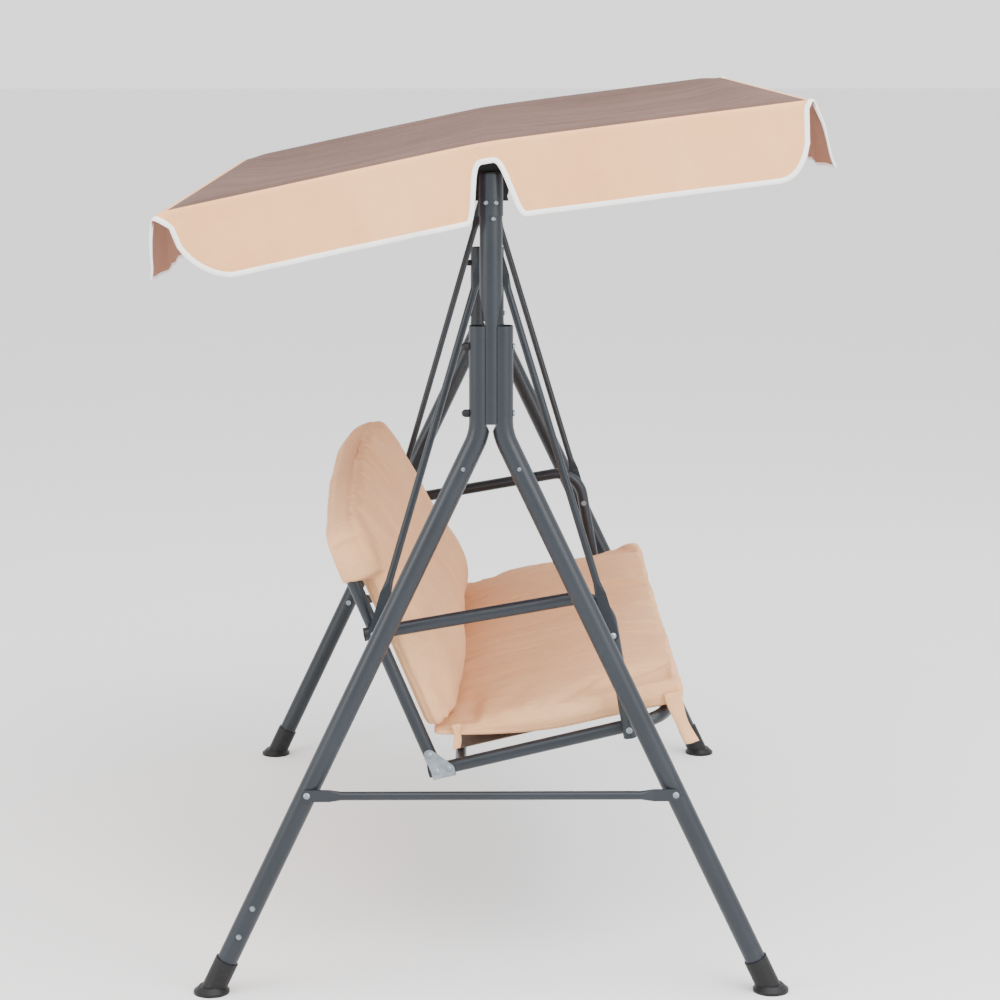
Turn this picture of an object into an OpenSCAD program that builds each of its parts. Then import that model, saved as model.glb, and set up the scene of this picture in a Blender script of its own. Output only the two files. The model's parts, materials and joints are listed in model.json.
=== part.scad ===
// Three-seat canopy swing: two bent-tube end frames, a top beam, a seat hung on
// sprung links and a fabric canopy that tilts on the beam.
// Millimetres. The floor is z = 0, x runs along the beam, and the seat faces -y.
// The seat's right-hand side, for a person sitting on it, is at -x.

/* [End frames] */
// Distance between the centre planes of the two end frames
frame_w = 1620; // [1300:20:2000]
// Distance between the centres of the front and rear feet
feet_span = 1030; // [850:10:1250]
// Height of the top beam's centre line
beam_z = 1478; // [1220:2:1800]
// Outside diameter of a leg tube
leg_d = 38; // [34:1:46]
// Wall of the leg tubes
leg_wall = 1.5; // [1:0.1:2.5]
// Drop from the beam to the open tops of the legs
leg_top_drop = 246; // [210:2:290]
// Drop from the beam to the bend in the legs
leg_bend_drop = 438; // [380:2:520]
// Radius of the bend in the legs
leg_bend_r = 100; // [60:5:150]
// How far the inner side of a leg is pressed flat beside the post
leg_press = 8.5; // [6:0.5:11]
// Height of the brace between the legs of one end frame
brace_z = 380; // [260:5:500]
// Diameter of the brace tube
brace_d = 16; // [12:1:20]

/* [Posts and beam] */
// Outside diameter of a post
post_d = 40; // [34:1:48]
// Thickness of the pressed foot of a post, between the legs
post_flat = 19.5; // [14:0.5:26]
// Drop from the beam to the bottom of a post
post_end_drop = 420; // [390:2:430]
// Length over which a post changes from pressed to round
post_taper = 62; // [40:2:90]
// Outside diameter of the top beam
beam_d = 36; // [28:1:42]
// Wall of the top beam
beam_wall = 1.5; // [1:0.1:2.5]
// Length of the sleeve on the top of a post
sleeve_len = 73; // [60:1:90]

/* [Feet] */
// Diameter of a foot's round base
foot_d = 66; // [56:1:84]
// Thickness of a foot's base
foot_base = 5; // [4:0.5:9]
// Length of the sleeve of a foot, along the leg
foot_sleeve = 50; // [36:1:70]
// Wall of a foot's sleeve
foot_wall = 2.6; // [2:0.2:4]

/* [Springs and links] */
// Drop from the beam to the pin that the seat swings on
pivot_drop = 30; // [28:1:40]
// Distance from the swing pin to the bolt of the links
hanger_len = 62; // [54:1:84]
// Outside diameter of a spring
spring_d = 27; // [22:1:34]
// Wire of a spring and its hooks
wire_d = 4; // [3:0.2:5]
// Turns of a spring
spring_turns = 7; // [5:1:9]
// Distance from an end frame's centre plane to its spring
hang_inset = 109.5; // [80:0.5:160]
// Diameter of a link tube
link_d = 14; // [11:1:18]
// Width of a link's flattened end
link_flat_w = 21; // [17:1:26]
// Thickness of a link's flattened end
link_flat_t = 4; // [3:0.5:6]
// Length of a link's flattened end
link_flat_len = 104; // [50:2:110]

/* [Seat frame] */
// Diameter of the seat, back and arm tubes
tube_d = 25; // [20:1:30]
// Wall of those tubes
tube_wall = 1.2; // [0.8:0.1:2]
// Distance of the seat's rear corner behind the swing pin
corner_back = 148; // [120:2:180]
// Drop from the swing pin to the seat's rear corner
corner_drop = 1064; // [900:4:1100]
// Rise of the seat towards its front, before it hangs level
seat_rise = 10.8; // [6:0.2:16]
// Lean of the back, before the seat hangs level
back_lean = 20.5; // [14:0.5:28]
// Turn about the pin that puts the seat's weight below it
seat_hang = -2.5; // [-5:0.1:2]
// Distance from the rear corner to the front rail
seat_depth = 445; // [400:5:520]
// Bend radius of the seat frame and back frame
corner_r = 60; // [45:5:90]
// Distance up the back of its top rail
back_h = 470; // [420:5:560]
// Distance up the back of the arm's rear bolt
arm_bolt_up = 292; // [250:2:330]
// Distance from the rear corner to the arm's lower bolt
arm_front = 368; // [330:2:378]
// Fall of the arm towards its front, and lean of its upright, against the seat
arm_fall = 3.4; // [0:0.1:6]
// Bend radius of the arm
arm_bend_r = 60; // [45:5:90]
// Distance up the upright of the front link's bolt
front_link_up = 184; // [170:1:196]

/* [Cushions] */
// Depth of the seat cushion
cushion_depth = 430; // [360:5:480]
// Thickness of the seat cushion
cushion_t = 58; // [40:2:80]
// Thickness of the back cushion
back_t = 45; // [30:1:60]
// Rise of the back cushion's crown in the middle
crown_rise = 42; // [10:1:70]
// How far the cushions stop short of the tubes' centre planes
cushion_inset = 8; // [4:1:30]

/* [Canopy] */
// Tilt of the canopy, front up
canopy_pitch = 9.7; // [0:0.1:14]
// Height of the ridge above the beam
ridge_lift = 78; // [70:1:100]
// Distance from the ridge to each eave
eave_reach = 562; // [480:2:660]
// Drop from the ridge to an eave
eave_drop = 24; // [10:1:60]
// Depth of the valances
valance_drop = 136; // [110:2:170]
// Thickness of the canopy cloth, as a solid
cloth_t = 4; // [3:0.5:6]
// How far the rear valance stands out at its hem
rear_flare = 62; // [20:2:80]
// How far the front valance stands out at its hem
front_flare = 40; // [20:2:80]
// Half width of the notch round the beam
notch_half = 35; // [30:1:44]
// Diameter of the canopy's arm tubes
canopy_arm_d = 19; // [14:1:22]
// Diameter of the canopy's eave rails
rail_d = 16; // [12:1:20]

/* [Hidden] */
$fn = 48;

slate = [0.25, 0.29, 0.33];
zinc = [0.72, 0.73, 0.74];
black = [0.05, 0.05, 0.06];
beige = [0.86, 0.71, 0.60];
taupe = [0.62, 0.55, 0.52];

fit = 0.3;         // clearance between pieces that meet
over = 1;          // how far a cutter passes the face it cuts
lap = 0.05;        // how far the lengths of a bent bar run into its bends
bolt_r = 3;        // shank of the M6 bolts
head_r = 6;        // their heads and nuts
head_h = 3.6;
pin_r = 4;         // swing pins and link bolts, M8

right = -1;
left = 1;
front = -1;
rear = 1;

// End frame
frame_x = frame_w / 2;
leg_r = leg_d / 2;
leg_top_y = post_flat / 2 + leg_r - leg_press;
leg_top_z = beam_z - leg_top_drop;
leg_bend_z = beam_z - leg_bend_drop;
leg_angle = atan2(feet_span / 2 - leg_top_y, leg_bend_z);
leg_end_z = foot_base + 4 + leg_r * sin(leg_angle);
leg_out_y = leg_top_y + leg_r;                     // outer side of the straight tops
function leg_y(z) = leg_top_y + (leg_bend_z - z) * tan(leg_angle);
brace_flat_t = 4;
brace_flat_w = 22;
brace_x = frame_x + leg_r + fit + brace_flat_t / 2;
rear_bolt_zs = [112, 166];
rivet_z = leg_bend_z - 62;
rivet_r = 2.4;

post_r = post_d / 2;
post_end_z = beam_z - post_end_drop;
post_top_z = beam_z + 20;
sleeve_r = post_r + fit + 1.2;
sleeve_top_z = post_top_z;
leg_bolt_zs = [leg_top_z - 37, post_end_z + 18];
sleeve_bolt_z = beam_z - 29;
sleeve_screw_z = sleeve_top_z - sleeve_len - 4;
sleeve_bolt_places = [[-8.5, sleeve_bolt_z], [8.5, sleeve_bolt_z], [-4, sleeve_screw_z]];

beam_r = beam_d / 2;
pivot_z = beam_z - pivot_drop;
link_bolt_z = pivot_z - hanger_len;
bracket_half = 9;                                  // from the spring to each bracket plate
bracket_round = 12;

// Planes across the seat, from the spring inwards
wire_r = wire_d / 2;
hang_x = frame_x - hang_inset;
side_gap = 1;                                      // beside the lower hook
rear_link_x = hang_x - wire_r - side_gap - link_flat_t / 2;
front_link_x = hang_x + wire_r + side_gap + link_flat_t / 2;
tube_r = tube_d / 2;
arm_x = rear_link_x - link_flat_t / 2 - fit - tube_r;
seat_x = arm_x - tube_d - fit;

// Seat pose: a point in the seat's plane to the row's y and z
function turn2(p, a) = [p[0] * cos(a) - p[1] * sin(a), p[0] * sin(a) + p[1] * cos(a)];
function seat_point(p) =
    turn2(turn2(p, -seat_rise) + [corner_back, -corner_drop], seat_hang) + [0, pivot_z];

// Arm, in the seat's plane
arm_rear_bolt = turn2([0, arm_bolt_up], seat_rise - back_lean);
arm_low_bolt = [-arm_front, 0];
upright_dir = [-sin(arm_fall), cos(arm_fall)];
front_link_bolt = arm_low_bolt + front_link_up * upright_dir;
arm_run = arm_rear_bolt[0] + arm_front;
upright_len = arm_rear_bolt[1] * cos(arm_fall) - arm_run * sin(arm_fall);
arm_len = arm_run * cos(arm_fall) + arm_rear_bolt[1] * sin(arm_fall);
arm_tail = 16;                                     // tube past its end bolts
arm_dir = [-cos(arm_fall), -sin(arm_fall)];
arm_end = arm_rear_bolt - arm_tail * arm_dir;

// Back frame
back_start = tube_r * (1 + sin(back_lean - seat_rise)) + fit;
seat_tail = 13;
rail_back = 34;                                    // rear rail, ahead of the corner
corner_bolt_up = 35;
corner_bolt_fwd = 24;
corner_margin = 10;
bracket_t = 2;

// Cushions
sling_t = 2.5;
sling_z = tube_r + fit;
cushion_z = sling_z + sling_t + fit;
cushion_back = 48;                                 // its rear edge, ahead of the corner
cushion_x = seat_x - cushion_inset;
back_pad_low = 78;
back_pad_gap = 1;
cover_over = 14;                                   // cover above the top rail
crown_r = (pow(cushion_x, 2) + pow(crown_rise, 2)) / (2 * crown_rise);
tie_t = 3;                                         // thickness of a cloth tie

// Springs
ring_r = pin_r + fit + wire_r;
stub = 3;
upper_arm_z = pivot_z - ring_r - wire_r - stub;
lower_arm_z = link_bolt_z + ring_r + wire_r + stub;
coil_top_z = upper_arm_z - wire_r - fit;
coil_low_z = lower_arm_z + wire_r + fit;
coil_r = spring_d / 2 - wire_r;
coil_seg = 20;
coil_sides = 8;
coil_pitch = (coil_top_z - coil_low_z - wire_d) / spring_turns;

// Canopy: its end valances hang outside the posts, and its hubs turn inside them
cloth_gap = 8;                                     // from the sleeve to the end valance
valance_x = frame_x + sleeve_r + cloth_gap + cloth_t / 2;
plate_t = 3;
canopy_plate_x = frame_x - sleeve_r - 4 - plate_t / 2;
hub_x = canopy_plate_x - plate_t - fit;
canopy_arm_r = canopy_arm_d / 2;
canopy_arm_x = hub_x - plate_t / 2 - fit - canopy_arm_r;
eave_slope = atan2(eave_drop, eave_reach);
eave_z = ridge_lift - eave_drop;
notch_z = -14;                                     // where the notch's round top is centred
canopy_arm_z = ridge_lift - cloth_t - fit - canopy_arm_r;
rail_r = rail_d / 2;
rail_y = eave_reach - rail_r - 6;
rail_z = canopy_arm_z + canopy_arm_r - rail_r - rail_y * tan(eave_slope);
arm_joint = 44;                                    // canopy arm bolts, each side of the ridge
arm_start = 4;

module at_sides() {
    for (side = [right, left]) translate([side * frame_x, 0, 0]) children();
}

// The seat at rest, hanging from its pins
module hung() {
    translate([0, 0, pivot_z]) rotate([seat_hang, 0, 0]) translate([0, 0, -pivot_z]) children();
}
module on_seat() {
    hung() translate([0, corner_back, pivot_z - corner_drop]) rotate([-seat_rise, 0, 0]) children();
}
module on_back() {
    hung() translate([0, corner_back, pivot_z - corner_drop]) rotate([-back_lean, 0, 0]) children();
}
module on_canopy() {
    translate([0, 0, beam_z]) rotate([-canopy_pitch, 0, 0]) children();
}

// A bar that starts up z and bends towards +y. Each step is a straight length, then a
// bend of a radius through an angle.
module bar(steps, r, i = 0) {
    run = steps[i][0];
    bend = steps[i][1];
    angle = steps[i][2];
    back = i > 0 ? lap : 0;
    ahead = angle > 0 ? lap : 0;
    if (run > 0) translate([0, 0, -back]) cylinder(h = run + back + ahead, r = r);
    if (angle > 0) translate([0, 0, run]) {
        translate([0, bend, 0]) rotate([90, 0, -90])
            rotate_extrude(angle = angle) translate([bend, 0]) circle(r = r);
        if (i < len(steps) - 1)
            translate([0, bend * (1 - cos(angle)), bend * sin(angle)]) rotate([-angle, 0, 0])
                bar(steps, r, i + 1);
    }
}

function longer(steps) = [for (i = [0 : len(steps) - 1])
    [steps[i][0] + (i == 0 ? over : 0) + (i == len(steps) - 1 ? over : 0),
        steps[i][1], steps[i][2]]];

// The same bar as a tube, open at both ends
module tube(steps, d, wall) {
    difference() {
        bar(steps, d / 2);
        translate([0, 0, -over]) bar(longer(steps), d / 2 - wall);
    }
}

// A hole or a bolt along x through the point [y, z]
module along_x(x0, x1, p, r) {
    translate([min(x0, x1), p[0], p[1]]) rotate([0, 90, 0]) cylinder(h = abs(x1 - x0), r = r);
}

// A bolt along x with a domed head at its outer end and a nut at its inner end
module cross_bolt(side, x_in, x_out, p, r = bolt_r) {
    big = r * 2;
    along_x(side * (x_in - head_h), side * (x_out + head_h / 2), p, r);
    along_x(side * (x_in - head_h), side * x_in, p, big);
    translate([side * x_out, p[0], p[1]]) rotate([0, side * 90, 0])
        intersection() {
            cylinder(h = head_h, r = big);
            translate([0, 0, -big * 0.85]) sphere(r = big * 1.32);
        }
}

// A flattened end of a thin tube: it starts round its bolt and widens from the tube
module flat_end(r, w, t, flat_len, taper) {
    rotate([0, 90, 0]) cylinder(h = t, r = w / 2, center = true);
    translate([-t / 2, -w / 2, 0]) cube([t, w, flat_len - taper]);
    hull() {
        translate([-t / 2, -w / 2, flat_len - taper - over]) cube([t, w, over]);
        translate([0, 0, flat_len]) cylinder(h = over, r = r, $fn = 32);
    }
}

// A tube with two flattened, drilled ends, from its first bolt up z
module flat_ended(span, r, w, t, flat_len, taper, hole) {
    difference() {
        union() {
            flat_end(r, w, t, flat_len, taper);
            translate([0, 0, span]) rotate([180, 0, 0]) flat_end(r, w, t, flat_len, taper);
            translate([0, 0, flat_len]) cylinder(h = span - 2 * flat_len, r = r);
        }
        along_x(-t, t, [0, 0], hole);
        along_x(-t, t, [0, span], hole);
    }
}

/* End frames */

module leg(side, end) {
    steps = [
        [leg_top_z - leg_bend_z - leg_bend_r * tan(leg_angle / 2), leg_bend_r, leg_angle],
        [(leg_bend_z - leg_end_z) / cos(leg_angle) - leg_bend_r * tan(leg_angle / 2), 0, 0]
    ];
    color(slate) translate([side * frame_x, 0, 0]) mirror([0, end < 0 ? 1 : 0, 0])
        difference() {
            leg_shell(steps, leg_r, 0);
            leg_shell(longer(steps), leg_r - leg_wall, leg_wall);
            for (z = leg_bolt_zs) leg_bolt_hole(z);
            along_x(-leg_d, leg_d, [leg_y(brace_z), brace_z], bolt_r + fit);
            if (end > 0) for (z = rear_bolt_zs)
                along_x(0, side * leg_d, [leg_y(z), z], bolt_r + fit);
            along_x(0, side * leg_d, [leg_y(rivet_z), rivet_z], rivet_r + fit);
        }
}

// One skin of a leg: a bent bar whose top is pressed flat against the post
module leg_shell(steps, r, inset) {
    press_y = post_flat / 2 + inset;
    difference() {
        translate([0, leg_top_y, leg_top_z + (inset > 0 ? over : 0)]) mirror([0, 0, 1])
            bar(steps, r);
        translate([-leg_d, 0, 0]) rotate([90, 0, 90]) linear_extrude(height = 2 * leg_d)
            polygon([
                [press_y, leg_top_z + 2 * over], [press_y, post_end_z - fit],
                [leg_top_y - leg_r + inset, leg_bend_z], [-leg_d, leg_bend_z],
                [-leg_d, leg_top_z + 2 * over]
            ]);
    }
}

module leg_bolt_hole(z) {
    translate([0, -over, z]) rotate([-90, 0, 0]) cylinder(h = leg_out_y + 2 * over, r = bolt_r + fit);
}

module post(side) {
    color(slate) translate([side * frame_x, 0, 0]) difference() {
        translate([0, 0, post_end_z]) cylinder(h = post_top_z - post_end_z, r = post_r);
        for (end = [front, rear]) mirror([0, end < 0 ? 1 : 0, 0])
            translate([-post_d, 0, 0]) rotate([90, 0, 90]) linear_extrude(height = 2 * post_d)
                polygon([
                    [post_flat / 2, post_end_z - over], [post_flat / 2, leg_top_z],
                    [post_r + over, leg_top_z + post_taper], [post_d, post_end_z - over]
                ]);
        translate([0, 0, leg_top_z + post_taper])
            cylinder(h = post_top_z, r = post_r - leg_wall);
        for (z = leg_bolt_zs) mirror([0, 1, 0]) translate([0, -post_d, z]) rotate([-90, 0, 0])
            cylinder(h = 2 * post_d, r = bolt_r + fit);
        sleeve_bolt_holes(side);
    }
}

module sleeve_bolt_holes(side) {
    for (p = sleeve_bolt_places) along_x(0, side * post_d, p, bolt_r + fit);
}

module post_sleeves() {
    color(slate) for (side = [right, left]) translate([side * frame_x, 0, 0]) difference() {
        translate([0, 0, sleeve_top_z - sleeve_len]) cylinder(h = sleeve_len, r = sleeve_r);
        translate([0, 0, sleeve_top_z - sleeve_len - over])
            cylinder(h = sleeve_len + 2 * over, r = post_r + fit);
        sleeve_bolt_holes(side);
    }
}

module post_caps() {
    color(black) at_sides() {
        translate([0, 0, post_top_z]) cylinder(h = 3, r = post_r);
        translate([0, 0, post_top_z - 14]) cylinder(h = 14, r = post_r - leg_wall - fit);
    }
}

module top_beam() {
    color(slate) difference() {
        along_x(-frame_x, frame_x, [0, beam_z], beam_r);
        along_x(-frame_x, frame_x, [0, beam_z], beam_r - beam_wall);
        at_sides() translate([0, 0, beam_z - beam_d]) cylinder(h = 2 * beam_d, r = sleeve_r + fit);
    }
}

module brace(side) {
    y = leg_y(brace_z);
    color(slate) translate([side * brace_x, -y, brace_z]) rotate([-90, 0, 0])
        flat_ended(2 * y, brace_d / 2, brace_flat_w, brace_flat_t, 62, 22, bolt_r + fit);
}

module feet() {
    color(black) for (side = [right, left]) for (end = [front, rear])
        translate([side * frame_x, 0, 0]) mirror([0, end < 0 ? 1 : 0, 0]) foot();
}

module foot() {
    sleeve_out = leg_r + fit + foot_wall;
    y_end = leg_y(leg_end_z);
    difference() {
        union() {
            translate([0, feet_span / 2, 0]) {
                cylinder(h = foot_base, r = foot_d / 2);
                translate([0, 0, foot_base])
                    cylinder(h = 9, r1 = foot_d / 2 - 1, r2 = sleeve_out + 1.5);
            }
            difference() {
                translate([0, y_end, leg_end_z]) rotate([leg_angle, 0, 0])
                    translate([0, 0, -leg_end_z]) cylinder(h = leg_end_z + foot_sleeve, r = sleeve_out);
                translate([-foot_d, 0, -foot_d]) cube([2 * foot_d, feet_span, foot_d + over]);
            }
        }
        translate([0, y_end, leg_end_z]) rotate([leg_angle, 0, 0])
            translate([0, 0, -fit]) cylinder(h = foot_sleeve * 2, r = leg_r + fit);
    }
}

module leg_bolts() {
    color(zinc) at_sides() for (z = leg_bolt_zs)
        translate([0, -leg_out_y, z]) rotate([-90, 0, 0]) {
            translate([0, 0, -2]) cylinder(h = 2 * leg_out_y + 2, r = bolt_r);
            translate([0, 0, -head_h]) cylinder(h = head_h, r1 = head_r * 0.7, r2 = head_r);
        }
}

module leg_cap_nuts() {
    color(black) at_sides() for (z = leg_bolt_zs)
        translate([0, leg_out_y, z]) rotate([-90, 0, 0]) difference() {
            union() {
                cylinder(h = 6, r = 7);
                translate([0, 0, 6]) intersection() {
                    sphere(r = 7);
                    cylinder(h = 8, r = 7);
                }
            }
            translate([0, 0, -over]) cylinder(h = over + 2, r = bolt_r + fit);
        }
}

module brace_bolts() {
    color(zinc) for (side = [right, left]) for (end = [front, rear])
        cross_bolt(side, frame_x - leg_r, brace_x + brace_flat_t / 2,
            [end * leg_y(brace_z), brace_z]);
}

module rear_leg_bolts() {
    color(zinc) for (side = [right, left]) for (z = rear_bolt_zs)
        rivet(side, frame_x + leg_r, [leg_y(z), z], bolt_r, 5.4, 3);
}

module leg_rivets() {
    color(zinc) for (side = [right, left]) for (end = [front, rear])
        rivet(side, frame_x + leg_r, [end * leg_y(rivet_z), rivet_z], rivet_r, 4, 1.6);
}

// A short shank through one wall, with a domed head outside
module rivet(side, x, p, r, big, h) {
    along_x(side * (x - leg_wall - 5), side * (x + h / 2), p, r);
    translate([side * x, p[0], p[1]]) rotate([0, side * 90, 0]) cylinder(h = h, r1 = big, r2 = big * 0.7);
}

module sleeve_bolts() {
    color(zinc) for (side = [right, left]) for (p = sleeve_bolt_places)
        rivet(side, frame_x + (p[1] > sleeve_screw_z ? sleeve_r : post_r), p, bolt_r, 4.4, 2.6);
}

/* Hangers */

module hanger_brackets() {
    color(slate) for (side = [right, left]) for (face = [-1, 1])
        translate([side * hang_x + face * bracket_half, 0, 0]) rotate([90, 0, 90])
            linear_extrude(height = plate_t, center = true) difference() {
                union() {
                    translate([0, pivot_z]) circle(r = bracket_round);
                    translate([-bracket_round, pivot_z]) square([2 * bracket_round, pivot_drop]);
                }
                translate([0, beam_z]) circle(r = beam_r + fit);
                translate([0, pivot_z]) circle(r = pin_r + fit);
            }
}

module hanger_pins() {
    outer = bracket_half + plate_t / 2 + fit;
    color(zinc) for (side = [right, left]) {
        along_x(side * (hang_x - outer - 3), side * (hang_x + outer + 3), [0, pivot_z], pin_r);
        for (face = [-1, 1])
            along_x(side * hang_x + face * outer, side * hang_x + face * (outer + 3), [0, pivot_z],
                pin_r + 2.5);
    }
}

// A hook: a ring round its pin, a stub, and an arm out to the coil
module hook(ring_z, arm_z, out) {
    toward = sign(arm_z - ring_z);
    for (side = [right, left]) translate([side * hang_x, 0, 0]) {
        translate([0, 0, ring_z]) rotate([0, 90, 0]) rotate_extrude() translate([ring_r, 0])
            circle(r = wire_r);
        translate([0, 0, min(arm_z, ring_z + toward * ring_r)])
            cylinder(h = abs(arm_z - ring_z) - ring_r, r = wire_r);
        translate([0, 0, arm_z]) {
            sphere(r = wire_r);
            rotate([out * -90, 0, 0]) cylinder(h = coil_r, r = wire_r);
            translate([0, out * coil_r, 0]) sphere(r = wire_r);
        }
    }
}

module upper_hooks() {
    color(zinc) hook(pivot_z, upper_arm_z, rear);
}

module lower_hooks() {
    color(zinc) hook(link_bolt_z, lower_arm_z, rear);
}

function coil_point(i, k) =
    let (a = 90 + 360 * i / coil_seg, b = 360 * k / coil_sides,
        reach = coil_r + wire_r * cos(b))
    [reach * cos(a), reach * sin(a),
        coil_low_z + wire_r + coil_pitch * i / coil_seg + wire_r * sin(b)];

module springs() {
    rings = spring_turns * coil_seg;
    points = [for (i = [0 : rings]) for (k = [0 : coil_sides - 1]) coil_point(i, k)];
    sides = [for (i = [0 : rings - 1]) for (k = [0 : coil_sides - 1])
        let (n = (k + 1) % coil_sides, low = i * coil_sides, high = low + coil_sides)
        [low + k, high + k, high + n, low + n]];
    caps = [[for (k = [0 : coil_sides - 1]) k],
        [for (k = [coil_sides - 1 : -1 : 0]) rings * coil_sides + k]];
    color(zinc) for (side = [right, left]) translate([side * hang_x, 0, 0])
        polyhedron(points = points, faces = concat(sides, caps), convexity = 10);
}

module link_bolts() {
    color(zinc) for (side = [right, left])
        cross_bolt(side, rear_link_x - link_flat_t / 2 - fit,
            front_link_x + link_flat_t / 2 + fit, [0, link_bolt_z], pin_r);
}

// A link from the link bolt to a bolt on the seat
module link(side, top_x, foot_x, foot_point) {
    d = foot_point - [0, link_bolt_z];
    run = norm(d);
    color(slate) translate([side * top_x, 0, link_bolt_z]) rotate([atan2(-d[0], d[1]), 0, 0])
        rotate([0, atan2(side * (foot_x - top_x), run), 0])
            flat_ended(run, link_d / 2, link_flat_w, link_flat_t, link_flat_len, 24, pin_r + fit);
}

/* Seat */

function arm_steps() = [
    [arm_tail + arm_len - arm_bend_r, arm_bend_r, 90],
    [upright_len - arm_bend_r + arm_tail, 0, 0]
];

module arm(side) {
    color(slate) on_seat() difference() {
        translate([side * arm_x, arm_end[0], arm_end[1]]) rotate([-(90 + arm_fall), 0, 180])
            tube(arm_steps(), tube_d, tube_wall);
        for (p = [arm_rear_bolt, arm_low_bolt, front_link_bolt])
            along_x(side * (arm_x - tube_d), side * (arm_x + tube_d), p, bolt_r + fit);
    }
}

module seat_frame() {
    side_run = seat_tail + seat_depth - corner_r;
    steps = [[side_run, corner_r, 90], [2 * (seat_x - corner_r), corner_r, 90], [side_run, 0, 0]];
    color(slate) on_seat() difference() {
        translate([-seat_x, seat_tail, 0]) rotate([90, 90, 0]) tube(steps, tube_d, tube_wall);
        for (side = [right, left]) for (p = [[0, 0], [-corner_bolt_fwd, 0], arm_low_bolt])
            along_x(side * (seat_x - tube_d), side * (seat_x + tube_d), p, bolt_r + fit);
    }
}

module back_frame() {
    up = back_h - corner_r - back_start;
    steps = [[up, corner_r, 90], [2 * (seat_x - corner_r), corner_r, 90], [up, 0, 0]];
    color(slate) on_back() difference() {
        translate([-seat_x, 0, back_start]) rotate([0, 0, -90]) tube(steps, tube_d, tube_wall);
        for (side = [right, left]) for (z = [corner_bolt_up, arm_bolt_up])
            along_x(side * (seat_x - tube_d), side * (seat_x + tube_d), [0, z], bolt_r + fit);
    }
}

module rear_rail() {
    color(slate) on_seat() difference() {
        along_x(-seat_x, seat_x, [-rail_back - tube_r, 0], tube_r - 2);
        along_x(-seat_x - over, seat_x + over, [-rail_back - tube_r, 0], tube_r - 2 - tube_wall);
        for (side = [right, left]) translate([side * seat_x, 0, 0]) rotate([90, 0, 0])
            cylinder(h = seat_depth, r = tube_r + fit);
    }
}

// Pressed corner plate outside the tubes, with a flange below the seat tube
module corner_bracket(side) {
    x = side * (seat_x + tube_r + fit + bracket_t / 2);
    up = turn2([0, corner_bolt_up], seat_rise - back_lean);
    ahead = [-corner_bolt_fwd, 0];
    color(zinc) on_seat() difference() {
        union() {
            translate([x, 0, 0]) rotate([90, 0, 90]) linear_extrude(height = bracket_t, center = true) {
                for (p = [[0, 0], ahead, up]) translate(p) circle(r = corner_margin);
                polygon([[corner_margin, 0], [0, -corner_margin], ahead - [0, corner_margin],
                    ahead + [-corner_margin * 0.8, corner_margin * 0.6],
                    up + [-corner_margin * 0.8, corner_margin * 0.6], up + [corner_margin, 0]]);
                translate([-corner_bolt_fwd - corner_margin, -tube_r - fit - bracket_t])
                    square([corner_bolt_fwd + 2 * corner_margin, tube_r + fit + bracket_t]);
            }
            translate([min(x, side * (seat_x - tube_r)) - (side > 0 ? 0 : bracket_t / 2),
                -corner_bolt_fwd - corner_margin, -tube_r - fit - bracket_t])
                cube([tube_d + fit + bracket_t, corner_bolt_fwd + 2 * corner_margin, bracket_t]);
        }
        for (p = [[0, 0], ahead, up])
            along_x(x - 2 * bracket_t, x + 2 * bracket_t, p, bolt_r + fit);
    }
}

module corner_bolts() {
    up = turn2([0, corner_bolt_up], seat_rise - back_lean);
    color(zinc) on_seat() for (side = [right, left])
        for (p = [[0, 0], [-corner_bolt_fwd, 0], up])
            cross_bolt(side, seat_x - tube_r, seat_x + tube_r + fit + bracket_t, p);
}

module arm_bolts() {
    out = rear_link_x + link_flat_t / 2 + fit;
    color(zinc) on_seat() for (side = [right, left]) {
        cross_bolt(side, seat_x - tube_r, out, arm_rear_bolt);
        cross_bolt(side, arm_x - tube_r, out, front_link_bolt);
        cross_bolt(side, seat_x - tube_r, arm_x + tube_r, arm_low_bolt);
    }
}

module plug() {
    cylinder(h = 3, r = tube_r);
    translate([0, 0, -10]) cylinder(h = 10, r = tube_r - tube_wall - fit);
}

module tube_plugs() {
    color(black) on_seat() for (side = [right, left]) {
        translate([side * seat_x, seat_tail, 0]) rotate([-90, 0, 0]) plug();
        translate([side * arm_x, arm_end[0], arm_end[1]]) rotate([90 - arm_fall, 0, 180]) plug();
    }
}

module seat_sling() {
    wide = 2 * (seat_x - corner_r);
    color(taupe) on_seat() translate([-wide / 2, -seat_depth, sling_z])
        cube([wide, seat_depth - rail_back, sling_t]);
}

module seat_cushion() {
    nose = 18;
    back_y = -cushion_back;
    front_y = back_y - cushion_depth;
    top = cushion_z + cushion_t;
    color(beige) on_seat() translate([-cushion_x, 0, 0]) rotate([90, 0, 90])
        linear_extrude(height = 2 * cushion_x) polygon(concat(
            [[back_y - nose, cushion_z], [back_y, cushion_z + nose], [back_y, top - nose],
                [back_y - nose, top]],
            [for (a = [90 : 15 : 180]) [front_y + nose, top - nose] + nose * [cos(a), sin(a)]],
            [for (a = [180 : 15 : 270]) [front_y + nose, cushion_z + nose] + nose * [cos(a), sin(a)]]));
}

// Outline of the back cushion: straight sides, round corners and a crowned top
module back_outline() {
    round = 55;
    centre = back_h + tube_r + cover_over + crown_rise - crown_r;
    limit = asin((cushion_x - round) / crown_r);
    shoulder = [cushion_x - round, centre + crown_r * cos(limit) - round];
    polygon(concat(
        [[-cushion_x, back_pad_low], [cushion_x, back_pad_low]],
        [for (a = [0 : 15 : 90]) shoulder + round * [cos(a), sin(a)]],
        [for (i = [1 : 11]) let (a = limit * (1 - i / 6)) [0, centre] + crown_r * [sin(a), cos(a)]],
        [for (a = [90 : 15 : 180]) [-shoulder[0], shoulder[1]] + round * [cos(a), sin(a)]]));
}

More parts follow.
